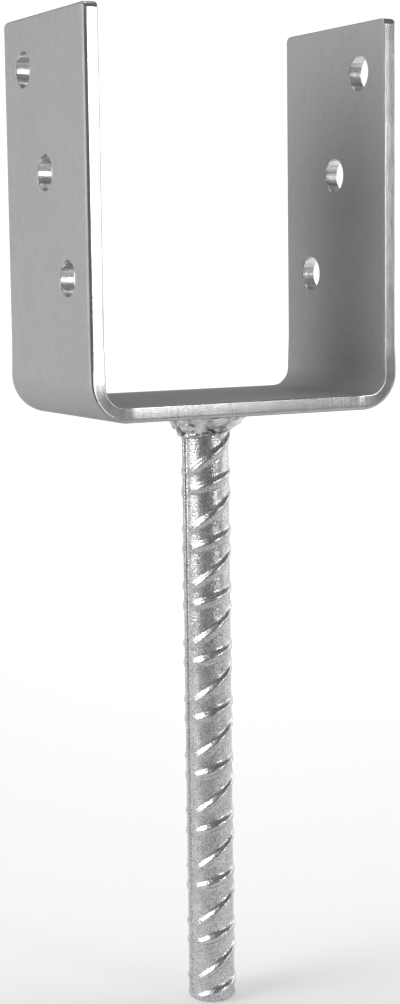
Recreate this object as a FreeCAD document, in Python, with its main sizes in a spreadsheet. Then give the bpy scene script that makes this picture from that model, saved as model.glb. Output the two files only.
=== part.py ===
import FreeCAD, Part
import os
import Sketcher
from FreeCAD import Placement, Rotation, Vector

# Post base: a flat steel bar folded into a U that takes the foot of a timber post, welded to a
# ribbed reinforcing bar that is cast into a concrete footing.
# X runs across the U, Y along the bar's width, Z up. The origin is the middle of the seat.

# Driving sizes, in millimetres and degrees
SIZES = {
    # Folded bar
    "clear_width": 101,
    "strip_width": 60,
    "strip_thickness": 5,
    "leg_height": 120,
    "bend_radius": 8,
    "corner_radius": 2,
    "outer_edge_radius": 1.4,
    "inner_edge_break": 0.4,
    # Screw holes, three on a slant in each leg
    "hole_diameter": 11,
    "hole_top_margin": 16,
    "hole_side_margin": 15,
    "hole_spacing": 32.5,
    # Ribbed bar, hanging from the underside of the U
    "rod_length": 200,
    "core_diameter": 15.4,
    "end_chamfer": 0.8,
    "seam_height": 0.7,
    "seam_width": 1.6,
    # Crescent ribs, in two rows on opposite sides of the bar
    "rib_height": 1.2,
    "rib_crest_width": 1.5,
    "rib_flank_angle": 40,
    "rib_reach": 78,
    "rib_tuck": 18,
    "rib_spacing": 9.6,
    "steep_angle": 33,
    "shallow_angle": 17,
    "lowest_rib": 4.6,
    "plain_top": 12,
    # Fillet weld between the two
    "weld_plate_leg": 7,
    "weld_rod_leg": 6.8,
}

doc = FreeCAD.newDocument("post_base")
sheet = doc.addObject("Spreadsheet::Sheet", "Sizes")
for line, (alias, number) in enumerate(SIZES.items(), start=1):
    sheet.set(f"A{line}", str(number))
    sheet.setAlias(f"A{line}", alias)
doc.recompute()

# Sizes that follow from those, as expressions of the sheet
INNER_X = "(Sizes.clear_width / 2)"
OUTER_X = "(Sizes.clear_width / 2 + Sizes.strip_thickness)"
EDGE_Y = "(Sizes.strip_width / 2)"
HOLE_Y = "(Sizes.strip_width / 2 - Sizes.hole_side_margin)"
TOP_HOLE_Z = "(Sizes.leg_height - Sizes.hole_top_margin)"
CORE_RADIUS = "(Sizes.core_diameter / 2)"
CREST_RADIUS = f"({CORE_RADIUS} + Sizes.rib_height)"
SEAM_REACH = f"({CORE_RADIUS} + Sizes.seam_height)"
RIB_PAIR = "(2 * Sizes.rib_spacing)"

# A rib is tallest in the middle of its row and sinks into the core at rib_reach on either side, so
# its crest follows a circle whose centre stands RIB_OFFSET from the bar's axis
RIB_OFFSET = (
    f"(({CREST_RADIUS}^2 - {CORE_RADIUS}^2)"
    f" / (2 * ({CREST_RADIUS} - {CORE_RADIUS} * cos(Sizes.rib_reach))))"
)
RIB_RADIUS = f"({CREST_RADIUS} - {RIB_OFFSET})"
RIB_HALF_TURN = "(Sizes.rib_reach + Sizes.rib_tuck)"
RIB_DEPTH = "(1.5 * Sizes.rib_height)"
RIB_ROOT_HALF = f"(Sizes.rib_crest_width / 2 + {RIB_DEPTH} * tan(Sizes.rib_flank_angle))"


def size_of(expression):
    """The number that an expression of the sheet comes to."""
    return float(sheet.evalExpression(expression))


def near(measured, expression):
    """Whether a measured coordinate, whatever its sign, is a size of the sheet."""
    return abs(abs(measured) - abs(size_of(expression))) < 1e-4


def origin_feature(body, role):
    """One of the body's own base planes or axes."""
    return next(feature for feature in body.Origin.OriginFeatures if feature.Role == role)


def add_sketch(body, role, name):
    """A sketch lying on one of the body's base planes."""
    sketch = body.newObject("Sketcher::SketchObject", name)
    sketch.AttachmentSupport = [(origin_feature(body, role), "")]
    sketch.MapMode = "FlatFace"
    return sketch


def hold(sketch, constraint, expression):
    """Add a dimension to a sketch and bind it to an expression of the sheet."""
    index = sketch.addConstraint(Sketcher.Constraint(*constraint, size_of(expression)))
    sketch.setExpression(f"Constraints[{index}]", expression)


def draw_outline(sketch, corners):
    """A closed outline of straight lines through corners, each a pair of expressions."""
    points = [Vector(size_of(across), size_of(up), 0) for across, up in corners]
    lines = []
    for start, end in zip(points, points[1:] + points[:1]):
        lines.append(sketch.addGeometry(Part.LineSegment(start, end), False))
    for line, following in zip(lines, lines[1:] + lines[:1]):
        sketch.addConstraint(Sketcher.Constraint("Coincident", line, 2, following, 1))
    for line, (across, up) in zip(lines, corners):
        hold(sketch, ("DistanceX", -1, 1, line, 1), across)
        hold(sketch, ("DistanceY", -1, 1, line, 1), up)


def draw_circle(sketch, across, up, radius):
    """A circle whose centre and radius are expressions."""
    centre = Vector(size_of(across), size_of(up), 0)
    circle = sketch.addGeometry(Part.Circle(centre, Vector(0, 0, 1), size_of(radius)), False)
    hold(sketch, ("DistanceX", -1, 1, circle, 3), across)
    hold(sketch, ("DistanceY", -1, 1, circle, 3), up)
    hold(sketch, ("Radius", circle), radius)


def add_feature(body, kind, name, bound, **settings):
    """A feature of a body: settings are taken as they are, bound ones follow the sheet."""
    feature = body.newObject(f"PartDesign::{kind}", name)
    for setting, value in settings.items():
        setattr(feature, setting, value)
    for setting, expression in bound.items():
        feature.setExpression(setting, expression)
    body.Tip = feature
    doc.recompute()
    return feature


def break_edges(body, kind, name, bound, chosen):
    """A fillet or chamfer on the edges of the body so far that chosen() picks by their middle."""
    base = body.Tip
    edges = []
    for count, edge in enumerate(base.Shape.Edges, start=1):
        if chosen(edge.CenterOfMass):
            edges.append(f"Edge{count}")
    return add_feature(body, kind, name, bound, Base=(base, edges))


# Folded bar: the U is drawn with square corners over the bar's width, then the bends are rounded
bracket = doc.addObject("PartDesign::Body", "u_bracket")
bracket.Label = "u_bracket"
bracket.Placement = Placement()
u_section = add_sketch(bracket, "XZ_Plane", "u_section")
draw_outline(
    u_section,
    [
        (f"-{OUTER_X}", "Sizes.leg_height"),
        (f"-{OUTER_X}", "-Sizes.strip_thickness"),
        (OUTER_X, "-Sizes.strip_thickness"),
        (OUTER_X, "Sizes.leg_height"),
        (INNER_X, "Sizes.leg_height"),
        (INNER_X, "0"),
        (f"-{INNER_X}", "0"),
        (f"-{INNER_X}", "Sizes.leg_height"),
    ],
)
add_feature(
    bracket, "Pad", "u_bar", {"Length": "Sizes.strip_width"},
    Profile=u_section, SideType="Symmetric",
)
break_edges(
    bracket, "Fillet", "inner_bends", {"Radius": "Sizes.bend_radius"},
    lambda middle: near(middle.x, INNER_X) and near(middle.z, "0"),
)
break_edges(
    bracket, "Fillet", "outer_bends", {"Radius": "Sizes.bend_radius + Sizes.strip_thickness"},
    lambda middle: near(middle.x, OUTER_X) and near(middle.z, "Sizes.strip_thickness"),
)

# Screw holes: one leg's slanting row, and the same row half a turn round on the other leg
hole_plan = add_sketch(bracket, "YZ_Plane", "hole_plan")
for step, across in enumerate((HOLE_Y, "0", f"-{HOLE_Y}")):
    draw_circle(
        hole_plan, across, f"{TOP_HOLE_Z} - {step} * Sizes.hole_spacing", "Sizes.hole_diameter / 2"
    )
holes = add_feature(bracket, "Pocket", "leg_holes", {}, Profile=hole_plan, Type="ThroughAll")
add_feature(
    bracket, "PolarPattern", "both_legs_holes", {},
    Originals=[holes], Axis=(origin_feature(bracket, "Z_Axis"), [""]), Angle=360, Occurrences=2,
)

# Edges: the corners of the leg tops, then the rolled arris that runs right round the outer face
# and the finer one round the inner face
break_edges(
    bracket, "Fillet", "top_corners", {"Radius": "Sizes.corner_radius"},
    lambda middle: near(middle.y, EDGE_Y) and near(middle.z, "Sizes.leg_height"),
)
break_edges(
    bracket, "Fillet", "outer_arris", {"Radius": "Sizes.outer_edge_radius"},
    lambda middle: near(middle.x, OUTER_X) and near(middle.y, EDGE_Y),
)
break_edges(
    bracket, "Chamfer", "inner_arris", {"Size": "Sizes.inner_edge_break"},
    lambda middle: near(middle.x, INNER_X) and near(middle.y, EDGE_Y),
)

# Ribbed bar: a round core with a lengthwise seam on either side, its top face against the U
rod = doc.addObject("PartDesign::Body", "ribbed_rod")
rod.Label = "ribbed_rod"
rod.setExpression("Placement.Base.z", "-Sizes.strip_thickness")
core_section = add_sketch(rod, "XY_Plane", "core_section")
draw_circle(core_section, "0", "0", CORE_RADIUS)
add_feature(rod, "Pad", "core", {"Length": "Sizes.rod_length"}, Profile=core_section, Reversed=True)
seam_section = add_sketch(rod, "XY_Plane", "seam_section")
draw_outline(
    seam_section,
    [
        (f"-{SEAM_REACH}", "-Sizes.seam_width / 2"),
        (SEAM_REACH, "-Sizes.seam_width / 2"),
        (SEAM_REACH, "Sizes.seam_width / 2"),
        (f"-{SEAM_REACH}", "Sizes.seam_width / 2"),
    ],
)
add_feature(rod, "Pad", "seams", {"Length": "Sizes.rod_length"}, Profile=seam_section, Reversed=True)


def add_rib(name, angle, height, turn):
    """A crescent rib climbing at an angle, its middle at a height above the bar's lower end."""
    climb = f"({RIB_RADIUS} * tan({angle}) * {RIB_HALF_TURN} * pi / 180)"
    profile = add_sketch(rod, "XZ_Plane", f"{name}_section")
    profile.AttachmentOffset = Placement(Vector(), Rotation(Vector(0, 1, 0), turn))
    start = f"({turn} - 90 - {RIB_HALF_TURN})"
    for setting, expression in {
        "Base.x": f"{RIB_OFFSET} * sin({turn})",
        "Base.y": f"{height} - Sizes.rod_length - {climb}",
        "Base.z": f"{RIB_OFFSET} * cos({turn})",
        "Rotation.Angle": start,
    }.items():
        profile.setExpression(f"AttachmentOffset.{setting}", expression)
    root = f"({RIB_RADIUS} - {RIB_DEPTH})"
    draw_outline(
        profile,
        [
            (RIB_RADIUS, "Sizes.rib_crest_width / 2"),
            (RIB_RADIUS, "-Sizes.rib_crest_width / 2"),
            (root, f"-{RIB_ROOT_HALF}"),
            (root, RIB_ROOT_HALF),
        ],
    )
    doc.recompute()
    return add_feature(
        rod, "AdditiveHelix", name, {"Height": f"2 * {climb}", "Turns": f"{RIB_HALF_TURN} / 180"},
        Profile=profile, ReferenceAxis=(profile, ["V_Axis"]), Mode="height-turns-angle",
        HasBeenEdited=True,
    )


def add_rib_rows(kind, angle, lowest):
    """Ribs of one kind up the bar, front and back, every second rib spacing."""
    ribs = []
    for side, turn in (("front", 0), ("back", 180)):
        ribs.append(add_rib(f"{kind}_{side}_rib", angle, lowest, turn))
    count = f"floor((Sizes.rod_length - Sizes.plain_top - {lowest}) / {RIB_PAIR}) + 1"
    add_feature(
        rod, "LinearPattern", f"{kind}_ribs", {"Offset": RIB_PAIR, "Occurrences": count},
        Originals=ribs, Direction=(origin_feature(rod, "Z_Axis"), [""]), Mode="Spacing",
    )


# Ribs: a shallow one and a steep one by turns, with a steep one cut through at the lower end
add_rib_rows("shallow", "Sizes.shallow_angle", "Sizes.lowest_rib")
add_rib_rows("steep", "Sizes.steep_angle", "(Sizes.lowest_rib - Sizes.rib_spacing)")

# Lower end: cropped square, with the edge broken
BEYOND = "(Sizes.rod_length / 2)"
end_section = add_sketch(rod, "XZ_Plane", "end_section")
draw_outline(
    end_section,
    [
        ("0", "-Sizes.rod_length"),
        (f"{CORE_RADIUS} - Sizes.end_chamfer", "-Sizes.rod_length"),
        (f"{CORE_RADIUS} + {BEYOND}", f"Sizes.end_chamfer + {BEYOND} - Sizes.rod_length"),
        (f"{CORE_RADIUS} + {BEYOND}", f"-{BEYOND} - Sizes.rod_length"),
        ("0", f"-{BEYOND} - Sizes.rod_length"),
    ],
)
add_feature(
    rod, "Groove", "lower_end", {}, Profile=end_section, ReferenceAxis=(end_section, ["V_Axis"])
)

# Weld: a fillet run round the bar under the U, filling in against the bar's own surface
weld_run = doc.addObject("PartDesign::Body", "weld_run")
weld_run.Label = "weld_run"
weld_run.setExpression("Placement.Base.z", "-Sizes.strip_thickness")
weld_section = add_sketch(weld_run, "XZ_Plane", "weld_section")
draw_outline(
    weld_section,
    [
        ("0", "0"),
        (f"{CORE_RADIUS} + Sizes.weld_plate_leg", "0"),
        (CORE_RADIUS, "-Sizes.weld_rod_leg"),
        ("0", "-Sizes.weld_rod_leg"),
    ],
)
add_feature(
    weld_run, "Revolution", "fillet_run", {},
    Profile=weld_section, ReferenceAxis=(weld_section, ["V_Axis"]),
)
weld = doc.addObject("Part::Cut", "weld_bead")
weld.Label = "weld_bead"
weld.Base = weld_run
weld.Tool = rod
weld.Placement = Placement()
doc.recompute()

# Every object is sound before anything is written
for item in doc.Objects:
    if "Invalid" in item.State or "Error" in item.State:
        raise RuntimeError(f"{item.Label} failed: {item.State}")
parts = [bracket, rod, weld]
for piece in parts:
    if piece.Shape.isNull() or not piece.Shape.isValid() or len(piece.Shape.Solids) != 1:
        raise RuntimeError(f"{piece.Label} is not one sound solid")

os.makedirs("parts", exist_ok=True)
for piece in parts:
    piece.Shape.exportStep(f"parts/{piece.Label}.step")
    box = piece.Shape.BoundBox
    print(f"{piece.Label}: {piece.Shape.Volume:.0f} mm3, z {box.ZMin:.2f} to {box.ZMax:.2f}")
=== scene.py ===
import math
import random

import bmesh
import bpy
from mathutils import Matrix, Vector


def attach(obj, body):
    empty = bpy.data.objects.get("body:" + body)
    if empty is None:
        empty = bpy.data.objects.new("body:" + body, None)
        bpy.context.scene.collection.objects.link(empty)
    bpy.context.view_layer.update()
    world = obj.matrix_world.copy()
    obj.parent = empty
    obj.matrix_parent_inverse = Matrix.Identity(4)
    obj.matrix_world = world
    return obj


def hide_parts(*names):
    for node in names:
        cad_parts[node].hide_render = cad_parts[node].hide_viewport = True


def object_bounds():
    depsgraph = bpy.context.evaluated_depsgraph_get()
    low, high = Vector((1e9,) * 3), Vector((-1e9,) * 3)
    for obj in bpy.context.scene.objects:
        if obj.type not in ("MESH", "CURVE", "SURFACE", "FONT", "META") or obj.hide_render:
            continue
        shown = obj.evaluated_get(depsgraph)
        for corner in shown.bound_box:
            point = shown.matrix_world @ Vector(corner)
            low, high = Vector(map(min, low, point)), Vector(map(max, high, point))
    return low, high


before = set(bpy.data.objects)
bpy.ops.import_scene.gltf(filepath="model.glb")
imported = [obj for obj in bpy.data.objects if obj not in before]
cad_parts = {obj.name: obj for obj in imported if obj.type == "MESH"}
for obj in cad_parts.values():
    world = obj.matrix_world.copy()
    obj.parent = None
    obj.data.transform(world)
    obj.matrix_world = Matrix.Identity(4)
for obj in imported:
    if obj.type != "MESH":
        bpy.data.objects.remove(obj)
cad_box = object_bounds()


# ---------------------------------------------------------------- the folded bar
# A flat bar of mild steel, sheared to length, punched with six screw holes and
# bent cold into a U, then dipped in molten zinc. It holds the foot of the post.

MM = 0.001
CLEAR_WIDTH = 101 * MM
BAR_WIDTH = 60 * MM
BAR_THICKNESS = 5 * MM
LEG_HEIGHT = 120 * MM
BEND_RADIUS = 8 * MM
BEND_FACETS = 20
TOP_CORNER_RADIUS = 2 * MM
TOP_CORNER_FACETS = 5
OUTER_ARRIS_RADIUS = 1.4 * MM
OUTER_ARRIS_FACETS = 6
INNER_ARRIS_RADIUS = 0.5 * MM
INNER_ARRIS_FACETS = 3
BAR_SMOOTH_ANGLE = math.radians(40)
FACE, CUT, BORE = 0, 1, 2


def start(name):
    """Names the object that was just added and opens its mesh for editing."""
    piece = bpy.context.object
    piece.name = piece.data.name = name
    bpy.ops.object.mode_set(mode="EDIT")
    return piece


def pick(piece, kind, test):
    """Selects only the faces, edges or vertices of the open mesh that pass the test."""
    bpy.ops.mesh.select_mode(type=kind)
    bpy.ops.mesh.select_all(action="DESELECT")
    mesh = bmesh.from_edit_mesh(piece.data)
    parts = {"VERT": mesh.verts, "EDGE": mesh.edges, "FACE": mesh.faces}[kind]
    for part in parts:
        part.select = test(part)
    mesh.select_flush_mode()
    bmesh.update_edit_mesh(piece.data)


def apply(piece, kind, **settings):
    """Adds a modifier to the piece with these settings and applies it."""
    bpy.ops.object.select_all(action="DESELECT")
    bpy.context.view_layer.objects.active = piece
    piece.select_set(True)
    bpy.ops.object.modifier_add(type=kind)
    modifier = piece.modifiers[-1]
    for name, value in settings.items():
        setattr(modifier, name, value)
    bpy.ops.object.modifier_apply(modifier=modifier.name)


def middle(edge):
    """The point halfway along an edge."""
    return (edge.verts[0].co + edge.verts[1].co) / 2


def near(value, goal, slack=0.01 * MM):
    """True where a measure is its goal, give or take the slack."""
    return abs(value - goal) < slack


def bar_depth(point):
    """How deep a point lies in the bar, from 0 on its inner skin to its thickness outside."""
    across = abs(point.x) - (CLEAR_WIDTH / 2 - BEND_RADIUS)
    below = BEND_RADIUS - point.z
    if across > 0 and below > 0:
        return math.hypot(across, below) - BEND_RADIUS
    return max(across, below) - BEND_RADIUS


# The inner skin: the seat, and a leg drawn up from each end of it.
bpy.ops.object.select_all(action="DESELECT")
bpy.ops.mesh.primitive_plane_add(size=1, location=(0, 0, 0))
bpy.context.object.scale = (CLEAR_WIDTH, BAR_WIDTH, 1)
bpy.ops.object.transform_apply(location=True, rotation=True, scale=True)
bar = start("folded_bar")
pick(bar, "EDGE", lambda e: near(abs(middle(e).x), CLEAR_WIDTH / 2))
bpy.ops.mesh.extrude_edges_move(TRANSFORM_OT_translate={"value": (0, 0, LEG_HEIGHT)})
pick(bar, "EDGE", lambda e: near(abs(middle(e).x), CLEAR_WIDTH / 2) and near(middle(e).z, 0))
bpy.ops.mesh.bevel(
    offset=BEND_RADIUS, segments=BEND_FACETS, affect="EDGES", clamp_overlap=False)

# Cuts across the skin where the swelling of the bends will die away: up the legs,
# along the seat and in from the bar's edges.
LEG_FADE = 12 * MM
SEAT_FADE = 2.5 * MM
FLARE_REACH = 12 * MM
cuts = []
for share in (0.25, 0.5, 0.75, 1):
    cuts.append((Vector((0, 0, BEND_RADIUS + LEG_FADE * share)), Vector((0, 0, 1))))
    for side in (-1, 1):
        along = side * (CLEAR_WIDTH / 2 - BEND_RADIUS - SEAT_FADE * share)
        edge = side * (BAR_WIDTH / 2 - FLARE_REACH * share)
        cuts.append((Vector((along, 0, 0)), Vector((1, 0, 0))))
        cuts.append((Vector((0, edge, 0)), Vector((0, 1, 0))))
for point, across in cuts:
    bpy.ops.mesh.select_all(action="SELECT")
    bpy.ops.mesh.bisect(plane_co=point, plane_no=across)
bpy.ops.mesh.select_all(action="SELECT")
bpy.ops.mesh.normals_make_consistent(inside=False)
bpy.ops.object.mode_set(mode="OBJECT")
seat_face = min(bar.data.polygons, key=lambda f: f.center.length)
outward = -1 if seat_face.normal.z > 0 else 1

# The bar's thickness, with the sheared sides kept apart as a second finish.
for finish in ("zinc_face", "zinc_cut", "zinc_bore"):
    bar.data.materials.append(bpy.data.materials.new(finish))
apply(
    bar, "SOLIDIFY", thickness=BAR_THICKNESS, offset=outward, use_even_offset=True,
    use_rim=True, material_offset_rim=CUT)


def top_corner(edge):
    """True for the four upright corners at the tops of the legs."""
    point = middle(edge)
    return (near(abs(point.y), BAR_WIDTH / 2) and near(point.z, LEG_HEIGHT)
            and all(f.material_index == CUT for f in edge.link_faces))


def arris(depth):
    """Tests for the edges where a sheared side meets the skin at this depth."""
    def test(edge):
        finishes = {f.material_index for f in edge.link_faces}
        return finishes == {FACE, CUT} and near(bar_depth(middle(edge)), depth, slack=0.2 * MM)
    return test


bpy.ops.object.mode_set(mode="EDIT")
for edges, radius, facets in (
        (top_corner, TOP_CORNER_RADIUS, TOP_CORNER_FACETS),
        (arris(BAR_THICKNESS), OUTER_ARRIS_RADIUS, OUTER_ARRIS_FACETS),
        (arris(0), INNER_ARRIS_RADIUS, INNER_ARRIS_FACETS)):
    pick(bar, "EDGE", edges)
    bpy.ops.mesh.bevel(offset=radius, segments=facets, affect="EDGES", clamp_overlap=False)

# In a cold bend the inside is squeezed out sideways and the outside drawn in, which
# dies away along the straights, and the inner skin turns down towards the bar's edges.
# The bulge takes a band of this share of the flare's reach.
BEND_BULGE = 0.8 * MM
BULGE_BAND = 0.25
BEND_FLARE = 0.8 * MM
SWELL_TURN = math.radians(36)


def ease(share):
    """A smooth rise from 0 to 1."""
    share = min(1, max(0, share))
    return share * share * (3 - 2 * share)


mesh = bmesh.from_edit_mesh(bar.data)
for vert in mesh.verts:
    across = abs(vert.co.x) - (CLEAR_WIDTH / 2 - BEND_RADIUS)
    below = BEND_RADIUS - vert.co.z
    turn = math.atan2(max(0, across), max(0, below))
    inside = min(turn, math.pi / 2 - turn)
    past = max(0, -across, -below)
    inward = (BAR_WIDTH / 2 - abs(vert.co.y)) / FLARE_REACH
    depth = bar_depth(vert.co) / BAR_THICKNESS
    if inward < 1:
        flare = BEND_FLARE * (1 - depth) * (1 - inward) ** 2 * ease(inside / SWELL_TURN)
        vert.co.x += math.copysign(flare * math.sin(turn), vert.co.x)
        vert.co.z -= flare * math.cos(turn)
    if inward < BULGE_BAND:
        fade = LEG_FADE if turn > math.pi / 4 else SEAT_FADE
        reach = BEND_RADIUS * inside - past + fade
        bulge = BEND_BULGE * ease(reach / (BEND_RADIUS * SWELL_TURN + fade))
        vert.co.y += math.copysign(bulge * (1 - 2 * depth), vert.co.y)
bmesh.update_edit_mesh(bar.data)
bpy.ops.object.mode_set(mode="OBJECT")

# The punched holes, on opposite slants in the two legs, with their rims rolled over.
HOLE_RADIUS = 5.5 * MM
HOLE_FACETS = 72
HOLE_HEIGHTS = (104 * MM, 71.5 * MM, 39 * MM)
HOLE_OFFSETS = (15 * MM, 0.0, -15 * MM)
HOLE_RIM_RADIUS = 0.45 * MM
HOLE_RIM_FACETS = 4
PUNCH_LENGTH = 4 * BAR_THICKNESS

bpy.ops.object.select_all(action="DESELECT")
for side in (-1, 1):
    for height, offset in zip(HOLE_HEIGHTS, HOLE_OFFSETS):
        bpy.ops.mesh.primitive_cylinder_add(
            vertices=HOLE_FACETS, radius=HOLE_RADIUS, depth=PUNCH_LENGTH,
            location=(side * (CLEAR_WIDTH + BAR_THICKNESS) / 2, -side * offset, height),
            rotation=(0, math.pi / 2, 0))
        punch = bpy.context.object
        punch.name = "punch"
        for finish in bar.data.materials:
            punch.data.materials.append(finish)
        for face in punch.data.polygons:
            face.material_index = BORE
        apply(bar, "BOOLEAN", object=punch, operation="DIFFERENCE", solver="EXACT")
        bpy.data.meshes.remove(punch.data)


def on_rim(edge):
    """True for the edges where a punched hole opens on the bar's inner or outer skin."""
    out = abs(middle(edge).x) - CLEAR_WIDTH / 2
    side = math.copysign(1, middle(edge).x)
    return (near(out, 0) or near(out, BAR_THICKNESS)) and any(
        all(near(math.hypot(v.co.y + side * offset, v.co.z - height), HOLE_RADIUS, slack=0.05 * MM)
            for v in edge.verts)
        for height, offset in zip(HOLE_HEIGHTS, HOLE_OFFSETS))


bpy.context.view_layer.objects.active = bar
bar.select_set(True)
bpy.ops.object.mode_set(mode="EDIT")
pick(bar, "EDGE", on_rim)
bpy.ops.mesh.bevel(
    offset=HOLE_RIM_RADIUS, segments=HOLE_RIM_FACETS, affect="EDGES", clamp_overlap=False)
bpy.ops.object.mode_set(mode="OBJECT")
bpy.ops.object.shade_smooth_by_angle(angle=BAR_SMOOTH_ANGLE)
apply(bar, "WEIGHTED_NORMAL", keep_sharp=True, weight=50)


def shader(material):
    """Clears a material and gives it one Principled shader, returned with its node tree."""
    material.use_nodes = True
    tree = material.node_tree
    tree.nodes.clear()
    surface = tree.nodes.new("ShaderNodeBsdfPrincipled")
    output = tree.nodes.new("ShaderNodeOutputMaterial")
    tree.links.new(surface.outputs["BSDF"], output.inputs["Surface"])
    return tree, surface


def pattern(tree, scale, detail, stretch=(1, 1, 1)):
    """A noise pattern in the object's own metres, stretched along its axes."""
    place = tree.nodes.new("ShaderNodeTexCoord")
    squeeze = tree.nodes.new("ShaderNodeMapping")
    noise = tree.nodes.new("ShaderNodeTexNoise")
    squeeze.inputs["Scale"].default_value = stretch
    noise.inputs["Scale"].default_value = scale
    noise.inputs["Detail"].default_value = detail
    noise.inputs["Roughness"].default_value = 0.55
    tree.links.new(place.outputs["Object"], squeeze.inputs["Vector"])
    tree.links.new(squeeze.outputs["Vector"], noise.inputs["Vector"])
    return noise.outputs["Fac"]


def ramp(tree, source, stops):
    """A colour ramp driven by a pattern; each stop is (position, colour)."""
    node = tree.nodes.new("ShaderNodeValToRGB")
    elements = node.color_ramp.elements
    while len(elements) < len(stops):
        elements.new(0.5)
    for element, (position, colour) in zip(elements, stops):
        element.position = position
        element.color = (*colour, 1)
    tree.links.new(source, node.inputs["Fac"])
    return node.outputs["Color"]


def darken(tree, colour, marks, strength):
    """Multiplies a colour by dark marks, at this strength."""
    node = tree.nodes.new("ShaderNodeMix")
    node.data_type = "RGBA"
    node.blend_type = "MULTIPLY"
    node.inputs["Factor"].default_value = strength
    tree.links.new(colour, node.inputs["A"])
    tree.links.new(marks, node.inputs["B"])
    return node.outputs["Result"]


def spread(tree, source, low, high):
    """Stretches a pattern's middle range to run between two values."""
    node = tree.nodes.new("ShaderNodeMapRange")
    node.inputs["From Min"].default_value = 0.3
    node.inputs["From Max"].default_value = 0.7
    node.inputs["To Min"].default_value = low
    node.inputs["To Max"].default_value = high
    tree.links.new(source, node.inputs["Value"])
    return node.outputs["Result"]


def finish_metal(tree, surface, colour, roughness, reliefs, metallic=1):
    """Sets a metal's colour, roughness and bump; each relief is (pattern, height in metres)."""
    tree.links.new(colour, surface.inputs["Base Color"])
    tree.links.new(roughness, surface.inputs["Roughness"])
    surface.inputs["Metallic"].default_value = metallic
    normal = None
    for source, height in reliefs:
        node = tree.nodes.new("ShaderNodeBump")
        node.inputs["Strength"].default_value = 1
        node.inputs["Distance"].default_value = height
        tree.links.new(source, node.inputs["Height"])
        if normal:
            tree.links.new(normal, node.inputs["Normal"])
        normal = node.outputs["Normal"]
    tree.links.new(normal, surface.inputs["Normal"])


# The skin is dull satin zinc: soft clouds a few centimetres across over a fine grain.
FACE_CLOUDS = (
    (0.30, (0.43, 0.432, 0.437)), (0.50, (0.445, 0.447, 0.452)), (0.72, (0.46, 0.462, 0.467)))
FACE_SPECKS = ((0.32, (0.82, 0.82, 0.83)), (0.52, (0.96, 0.96, 0.96)), (0.70, (1, 1, 1)))
FACE_SHEEN_TINT = (0.06, 0.06, 0.065, 1)

tree, surface = shader(bar.data.materials[FACE])
clouds = ramp(tree, pattern(tree, scale=26, detail=3, stretch=(1, 1, 0.5)), FACE_CLOUDS)
specks = ramp(tree, pattern(tree, scale=420, detail=3), FACE_SPECKS)
finish_metal(
    tree, surface, darken(tree, clouds, specks, strength=0.4),
    spread(tree, pattern(tree, scale=90, detail=4), low=0.62, high=0.68),
    ((pattern(tree, scale=40, detail=2, stretch=(1, 1, 0.25)), 0.012 * MM),
     (pattern(tree, scale=700, detail=4), 0.01 * MM)),
    metallic=0.6)
surface.inputs["Specular Tint"].default_value = FACE_SHEEN_TINT

# The sheared sides: the same zinc, thinner and brighter, over fine shear lines.
CUT_CLOUDS = (
    (0.30, (0.50, 0.502, 0.51)), (0.55, (0.55, 0.552, 0.56)), (0.75, (0.60, 0.602, 0.61)))
CUT_STREAKS = ((0.35, (0.78, 0.78, 0.79)), (0.60, (1, 1, 1)))

tree, surface = shader(bar.data.materials[CUT])
lines = pattern(tree, scale=1100, detail=3, stretch=(1, 1, 0.07))
clouds = ramp(tree, pattern(tree, scale=120, detail=4), CUT_CLOUDS)
finish_metal(
    tree, surface, darken(tree, clouds, ramp(tree, lines, CUT_STREAKS), strength=0.7),
    spread(tree, pattern(tree, scale=160, detail=4), low=0.22, high=0.28),
    ((pattern(tree, scale=110, detail=3), 0.03 * MM), (lines, 0.02 * MM),
     (pattern(tree, scale=1600, detail=2), 0.02 * MM)))

# The punched bores: rougher, with score marks that run the way the punch went.
BORE_SCORES = (
    (0.32, (0.42, 0.422, 0.43)), (0.50, (0.74, 0.742, 0.75)), (0.70, (0.84, 0.842, 0.85)))

tree, surface = shader(bar.data.materials[BORE])
scores = pattern(tree, scale=900, detail=3, stretch=(0.08, 1, 1))
finish_metal(
    tree, surface, ramp(tree, scores, BORE_SCORES),
    spread(tree, pattern(tree, scale=400, detail=3), low=0.24, high=0.36),
    ((scores, 0.06 * MM), (pattern(tree, scale=300, detail=3), 0.10 * MM)))

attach(bar, "root")
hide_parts("u_bracket")


# ---------------------------------------------------------------- the ribbed rod
# A hot-rolled reinforcing bar with crescent ribs and two seams, cut from stock
# and galvanised with the rest; the zinc softens its ribs. The footing holds it.

ROD_MERGE_GAP = 0.002 * MM
ROD_VOXEL = 0.36 * MM
ROD_SMOOTHINGS = 9
ROD_FACE_SHARE = 0.75
ZINC_RUN_HEIGHT = 0.10 * MM
ZINC_RUN_SIZE = 5 * MM
ROD_CLOUDS = (
    (0.30, (0.64, 0.642, 0.65)), (0.50, (0.74, 0.742, 0.75)), (0.70, (0.82, 0.822, 0.83)))
ROD_SPECKS = ((0.36, (0.34, 0.34, 0.35)), (0.52, (0.86, 0.86, 0.86)), (0.66, (1, 1, 1)))

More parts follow.
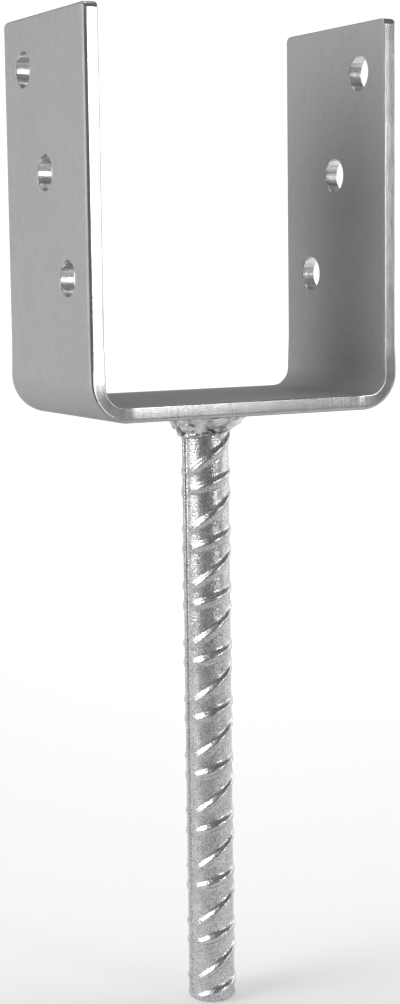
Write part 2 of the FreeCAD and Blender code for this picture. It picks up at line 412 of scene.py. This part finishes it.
bpy.ops.object.select_all(action="DESELECT")
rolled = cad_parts["ribbed_rod"]
rod = bpy.data.objects.new("ribbed_bar", rolled.data.copy())
bpy.context.scene.collection.objects.link(rod)
bpy.context.view_layer.objects.active = rod
rod.select_set(True)
start("ribbed_bar")
bpy.ops.mesh.select_all(action="SELECT")
bpy.ops.mesh.remove_doubles(threshold=ROD_MERGE_GAP)
bpy.ops.object.mode_set(mode="OBJECT")
apply(rod, "REMESH", mode="VOXEL", voxel_size=ROD_VOXEL)
apply(rod, "SMOOTH", factor=0.5, iterations=ROD_SMOOTHINGS)
apply(rod, "DECIMATE", ratio=ROD_FACE_SHARE)
zinc_runs = bpy.data.textures.new("zinc_runs", "CLOUDS")
zinc_runs.noise_scale = ZINC_RUN_SIZE
apply(
    rod, "DISPLACE", texture=zinc_runs, texture_coords="LOCAL", strength=ZINC_RUN_HEIGHT,
    mid_level=0.5)
bpy.ops.object.shade_smooth()

rod.data.materials.clear()
rod.data.materials.append(bpy.data.materials.new("zinc_rolled"))
tree, surface = shader(rod.data.materials[0])
clouds = ramp(tree, pattern(tree, scale=150, detail=4), ROD_CLOUDS)
specks = ramp(tree, pattern(tree, scale=2400, detail=2), ROD_SPECKS)
finish_metal(
    tree, surface, darken(tree, clouds, specks, strength=0.85),
    spread(tree, pattern(tree, scale=260, detail=3), low=0.24, high=0.34),
    ((pattern(tree, scale=300, detail=3), 0.05 * MM),
     (pattern(tree, scale=1700, detail=2), 0.13 * MM)))

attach(rod, "root")
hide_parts("ribbed_rod")


# ---------------------------------------------------------------- the weld
# One pass of fillet weld laid round the top of the rod, rippled where each bead
# froze on the last, lumpy at its toe, with an undercut where the run was stopped.

WELD_TOP = -BAR_THICKNESS
WELD_PLATE_RADIUS = 14.4 * MM
WELD_ROD_RADIUS = 8.5 * MM
WELD_HEIGHT = 7.4 * MM
WELD_FACETS = 72
WELD_SHIFT = Vector((1.5 * MM, -0.8 * MM, 0))
WELD_TUCK = 0.8 * MM
TOE_LEAN = math.radians(10)
WELD_VOXEL = 0.22 * MM
WELD_SMOOTHINGS = 4
WELD_LUMP_HEIGHT = 0.6 * MM
WELD_LUMP_SIZE = 2.6 * MM
WELD_CUT_SLACK = 0.0001 * MM
WELD_SMOOTH_ANGLE = math.radians(50)
BEAD_FACETS = 24
BEAD_RINGS = 14
RIPPLES = 26
RIPPLE_SEED = 7
RIPPLE_REACH = 10.1 * MM
RIPPLE_DEPTH = 2.7 * MM
RIPPLE_ALONG = 1.5 * MM
RIPPLE_OUT = 1.9 * MM
RIPPLE_DOWN = 3.6 * MM
RIPPLE_LEAN = 38
RIPPLE_SIZES = (0.95, 1.06)
RIPPLE_STRAY = 0.2
# Lumps along the run, in millimetres: turn in degrees from the front towards the left,
# distance from the rod's axis, depth under the bar, half sizes along, out and down.
LUMPS = (
    (28, 8.6, 6.7, 2.6, 1.3, 1.0),
    (50, 8.5, 7.3, 2.8, 1.3, 1.0),
    (74, 8.4, 7.6, 2.7, 1.2, 1.0),
    (98, 8.4, 7.4, 2.6, 1.1, 1.0),
    (2, 9.7, 4.5, 3.8, 1.8, 1.9),
    (-24, 10.5, 3.5, 3.2, 1.6, 1.7),
    (60, 10.2, 4.0, 3.4, 1.7, 2.2),
    (128, 9.6, 4.2, 3.6, 1.6, 2.0),
    (170, 9.4, 4.4, 3.4, 1.5, 1.9),
    (212, 9.8, 4.0, 3.8, 1.6, 1.9),
    (250, 10.2, 3.8, 3.4, 1.5, 1.8),
    (290, 10.8, 3.2, 3.6, 1.5, 1.7),
)
# The undercut where the run was stopped, given in the same way.
UNDERCUT = (16, 13.3, 0.5, 3.4, 1.7, 1.2)
WELD_CLOUDS = (
    (0.38, (0.10, 0.101, 0.103)), (0.47, (0.46, 0.462, 0.467)), (0.62, (0.70, 0.702, 0.708)))

# The body of the fillet, set a little off the rod's axis and run up into the bar, so
# that no gap is left under the seat when it is trimmed there.
bpy.ops.object.select_all(action="DESELECT")
bpy.ops.mesh.primitive_cone_add(
    vertices=WELD_FACETS, radius1=WELD_ROD_RADIUS, radius2=WELD_PLATE_RADIUS, depth=WELD_HEIGHT,
    location=(0, 0, WELD_TOP - WELD_HEIGHT / 2))
bpy.ops.object.transform_apply(location=True, rotation=True, scale=True)
weld = start("weld_run")
pick(weld, "VERT", lambda v: near(v.co.z, WELD_TOP))
bpy.ops.transform.translate(value=WELD_SHIFT)
pick(weld, "VERT", lambda v: near(v.co.z, WELD_TOP - WELD_HEIGHT))
bpy.ops.transform.rotate(
    value=TOE_LEAN, orient_axis="Y", center_override=(0, 0, WELD_TOP - WELD_HEIGHT))
pick(weld, "FACE", lambda f: near(f.calc_center_median().z, WELD_TOP))
bpy.ops.mesh.extrude_region_move(TRANSFORM_OT_translate={"value": (0, 0, WELD_TUCK)})
bpy.ops.object.mode_set(mode="OBJECT")


def add_bead(turn, reach, depth, along, out, down, lean=0.0):
    """A rounded lump of weld metal; turn 0 is in front of the rod, 90 degrees at its left."""
    angle = -math.radians(turn)
    bpy.ops.mesh.primitive_uv_sphere_add(
        segments=BEAD_FACETS, ring_count=BEAD_RINGS, radius=1,
        location=(reach * math.sin(angle), -reach * math.cos(angle), WELD_TOP - depth),
        rotation=(math.radians(lean), 0, angle))
    bpy.context.object.scale = (along, out, down)
    return bpy.context.object


beads = []
chance = random.Random(RIPPLE_SEED)
for k in range(RIPPLES):
    size = chance.uniform(*RIPPLE_SIZES)
    turn = 360 * (k + chance.uniform(-RIPPLE_STRAY, RIPPLE_STRAY)) / RIPPLES
    beads.append(add_bead(
        turn, RIPPLE_REACH, RIPPLE_DEPTH, RIPPLE_ALONG, RIPPLE_OUT * size, RIPPLE_DOWN * size,
        RIPPLE_LEAN))
for turn, *sizes in LUMPS:
    beads.append(add_bead(turn, *(s * MM for s in sizes)))
turn, *sizes = UNDERCUT
undercut = add_bead(turn, *(s * MM for s in sizes))

# All of it grown into one skin, undercut, roughened and trimmed at the bar's underside.
bpy.ops.object.select_all(action="DESELECT")
for bead in beads:
    bead.select_set(True)
weld.select_set(True)
bpy.context.view_layer.objects.active = weld
bpy.ops.object.join()
bpy.ops.object.transform_apply(location=True, rotation=True, scale=True)
apply(weld, "REMESH", mode="VOXEL", voxel_size=WELD_VOXEL)
apply(weld, "SMOOTH", factor=0.5, iterations=WELD_SMOOTHINGS)
apply(weld, "BOOLEAN", object=undercut, operation="DIFFERENCE", solver="EXACT")
bpy.data.meshes.remove(undercut.data)
weld_lumps = bpy.data.textures.new("weld_lumps", "CLOUDS")
weld_lumps.noise_scale = WELD_LUMP_SIZE
apply(
    weld, "DISPLACE", texture=weld_lumps, texture_coords="LOCAL", strength=WELD_LUMP_HEIGHT,
    mid_level=0.5)
bpy.ops.object.mode_set(mode="EDIT")
bpy.ops.mesh.select_all(action="SELECT")
bpy.ops.mesh.bisect(
    plane_co=(0, 0, WELD_TOP), plane_no=(0, 0, 1), clear_outer=True, use_fill=True,
    threshold=WELD_CUT_SLACK)
bpy.ops.object.mode_set(mode="OBJECT")
bpy.ops.object.shade_smooth_by_angle(angle=WELD_SMOOTH_ANGLE)

weld.data.materials.clear()
weld.data.materials.append(bpy.data.materials.new("zinc_weld"))
tree, surface = shader(weld.data.materials[0])
finish_metal(
    tree, surface, ramp(tree, pattern(tree, scale=220, detail=4), WELD_CLOUDS),
    spread(tree, pattern(tree, scale=300, detail=3), low=0.14, high=0.26),
    ((pattern(tree, scale=350, detail=3), 0.22 * MM),
     (pattern(tree, scale=1200, detail=3), 0.05 * MM)))

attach(weld, "root")
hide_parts("weld_bead")


# ---------------------------------------------------------------- the studio
# A floor of pale paper that runs back and curves up behind the object, soft lamps at
# the left, the front and the right, one above, one for the paper's far end, and a camera.

FLOOR_LEVEL = cad_box[0].z
FLOOR_REACH = 7.0
WALL_DISTANCE = 2.6
WALL_HEIGHT = 1.0
WALL_CURVE = 0.5
WALL_CURVE_FACETS = 16
PAPER_TONES = ((0.3, (0.90, 0.90, 0.90)), (0.7, (0.93, 0.93, 0.93)))
PAPER_ROUGHNESS = 0.9
PAPER_GLOW = 0.6
GLOW_START = -0.15
GLOW_FADE = 0.25
ROOM_LIGHT = (0.20, 0.20, 0.202)
LAMP_AIM = (0, 0, -0.03)
CAMERA_YAW = math.radians(28.617)
CAMERA_PITCH = math.radians(7.328)
CAMERA_ROLL = math.radians(-0.738)
CAMERA_EYE = (-298.75 * MM, -543.50 * MM, 44.54 * MM)
CAMERA_LENS = 67.88
CAMERA_SENSOR = 36
CAMERA_NEAR = 10 * MM

bpy.ops.object.select_all(action="DESELECT")
bpy.ops.mesh.primitive_plane_add(
    size=1, location=(0, WALL_DISTANCE - FLOOR_REACH / 2, FLOOR_LEVEL))
bpy.context.object.scale = (FLOOR_REACH, FLOOR_REACH, 1)
bpy.ops.object.transform_apply(location=True, rotation=True, scale=True)
floor = start("studio_floor")
pick(floor, "EDGE", lambda e: near(middle(e).y, WALL_DISTANCE))
bpy.ops.mesh.extrude_edges_move(TRANSFORM_OT_translate={"value": (0, 0, WALL_HEIGHT)})
pick(floor, "EDGE", lambda e: near(middle(e).y, WALL_DISTANCE) and near(middle(e).z, FLOOR_LEVEL))
bpy.ops.mesh.bevel(
    offset=WALL_CURVE, segments=WALL_CURVE_FACETS, affect="EDGES", clamp_overlap=False)
bpy.ops.mesh.select_all(action="SELECT")
bpy.ops.transform.rotate(value=CAMERA_YAW, orient_axis="Z", center_override=(0, 0, 0))
bpy.ops.object.mode_set(mode="OBJECT")
bpy.ops.object.shade_smooth()
floor.data.materials.append(bpy.data.materials.new("pale_paper"))
tree, surface = shader(floor.data.materials[0])
tree.links.new(
    ramp(tree, pattern(tree, scale=3, detail=3), PAPER_TONES), surface.inputs["Base Color"])
surface.inputs["Roughness"].default_value = PAPER_ROUGHNESS

# Behind the object the paper looks paler than its light makes it, to the camera and
# in reflections, and adds no other light to the object.
place = tree.nodes.new("ShaderNodeTexCoord")
facing = tree.nodes.new("ShaderNodeMapping")
facing.inputs["Rotation"].default_value = (0, 0, CAMERA_YAW - math.pi / 2)
facing.inputs["Scale"].default_value = (1 / GLOW_FADE,) * 3
facing.inputs["Location"].default_value = (-GLOW_START / GLOW_FADE, 0, 0)
behind = tree.nodes.new("ShaderNodeTexGradient")
tree.links.new(place.outputs["Object"], facing.inputs["Vector"])
tree.links.new(facing.outputs["Vector"], behind.inputs["Vector"])
fade = ramp(tree, behind.outputs["Fac"], ((0, (0, 0, 0)), (1, (PAPER_GLOW,) * 3)))
path = tree.nodes.new("ShaderNodeLightPath")
share = path.outputs["Is Camera Ray"]
for step, other in (
        ("MAXIMUM", path.outputs["Is Glossy Ray"]),
        ("MAXIMUM", path.outputs["Is Transmission Ray"]),
        ("MULTIPLY", fade)):
    node = tree.nodes.new("ShaderNodeMath")
    node.operation = step
    tree.links.new(share, node.inputs[0])
    tree.links.new(other, node.inputs[1])
    share = node.outputs["Value"]
glow = tree.nodes.new("ShaderNodeEmission")
glow.inputs["Color"].default_value = (1, 1, 1, 1)
glow.inputs["Strength"].default_value = 1
paper = tree.nodes.new("ShaderNodeMixShader")
tree.links.new(share, paper.inputs["Fac"])
tree.links.new(surface.outputs["BSDF"], paper.inputs[1])
tree.links.new(glow.outputs["Emission"], paper.inputs[2])
tree.links.new(paper.outputs["Shader"], tree.nodes["Material Output"].inputs["Surface"])


def lamp(name, azimuth, height, distance, size, radiance, spread_angle, aim=LAMP_AIM):
    """A soft oblong lamp; azimuth 0 is in front of the object, 90 degrees at its left."""
    light = bpy.data.lights.new(name, "AREA")
    half = math.radians(spread_angle) / 2
    light.spread = 2 * half
    light.shape = "RECTANGLE"
    light.size, light.size_y = size
    light.energy = math.pi * size[0] * size[1] * radiance * (1 - half / math.tan(half))
    stand = bpy.data.objects.new(name, light)
    turn = math.radians(azimuth)
    stand.location = (-distance * math.sin(turn), -distance * math.cos(turn), height)
    stand.rotation_euler = (Vector(aim) - stand.location).to_track_quat("-Z", "Y").to_euler()
    stand.visible_camera = False
    bpy.context.scene.collection.objects.link(stand)


lamp("left_box", azimuth=93, height=0.26, distance=0.95, size=(0.7, 0.65),
     radiance=10.8, spread_angle=62)
lamp("front_box", azimuth=-22, height=0.15, distance=1.3, size=(0.26, 0.38),
     radiance=15.0, spread_angle=40, aim=(0, 0, -0.10))
lamp("right_box", azimuth=-85, height=0.25, distance=1.3, size=(1.5, 0.9),
     radiance=2.0, spread_angle=84, aim=(0.0, 0.15, -0.03))
lamp("top_box", azimuth=208, height=1.2, distance=0.50, size=(0.9, 0.9),
     radiance=6.5, spread_angle=66, aim=(0.29, 0.50, FLOOR_LEVEL))
lamp("wall_box", azimuth=210, height=1.6, distance=1.3, size=(1.6, 0.8),
     radiance=13.0, spread_angle=132, aim=(1.1, 2.0, -0.1))

world = bpy.data.worlds.new("studio")
bpy.context.scene.world = world
world.use_nodes = True
room = world.node_tree.nodes["Background"]
room.inputs["Color"].default_value = (*ROOM_LIGHT, 1)
room.inputs["Strength"].default_value = 1

lens = bpy.data.cameras.new("camera")
lens.lens = CAMERA_LENS
lens.sensor_width = CAMERA_SENSOR
lens.clip_start = CAMERA_NEAR
camera = bpy.data.objects.new("camera", lens)
camera.matrix_world = (
    Matrix.Translation(CAMERA_EYE)
    @ Matrix.Rotation(-CAMERA_YAW, 4, "Z")
    @ Matrix.Rotation(math.pi / 2 - CAMERA_PITCH, 4, "X")
    @ Matrix.Rotation(CAMERA_ROLL, 4, "Z"))
bpy.context.scene.collection.objects.link(camera)
bpy.context.scene.camera = camera
bpy.context.scene.view_settings.view_transform = "Standard"
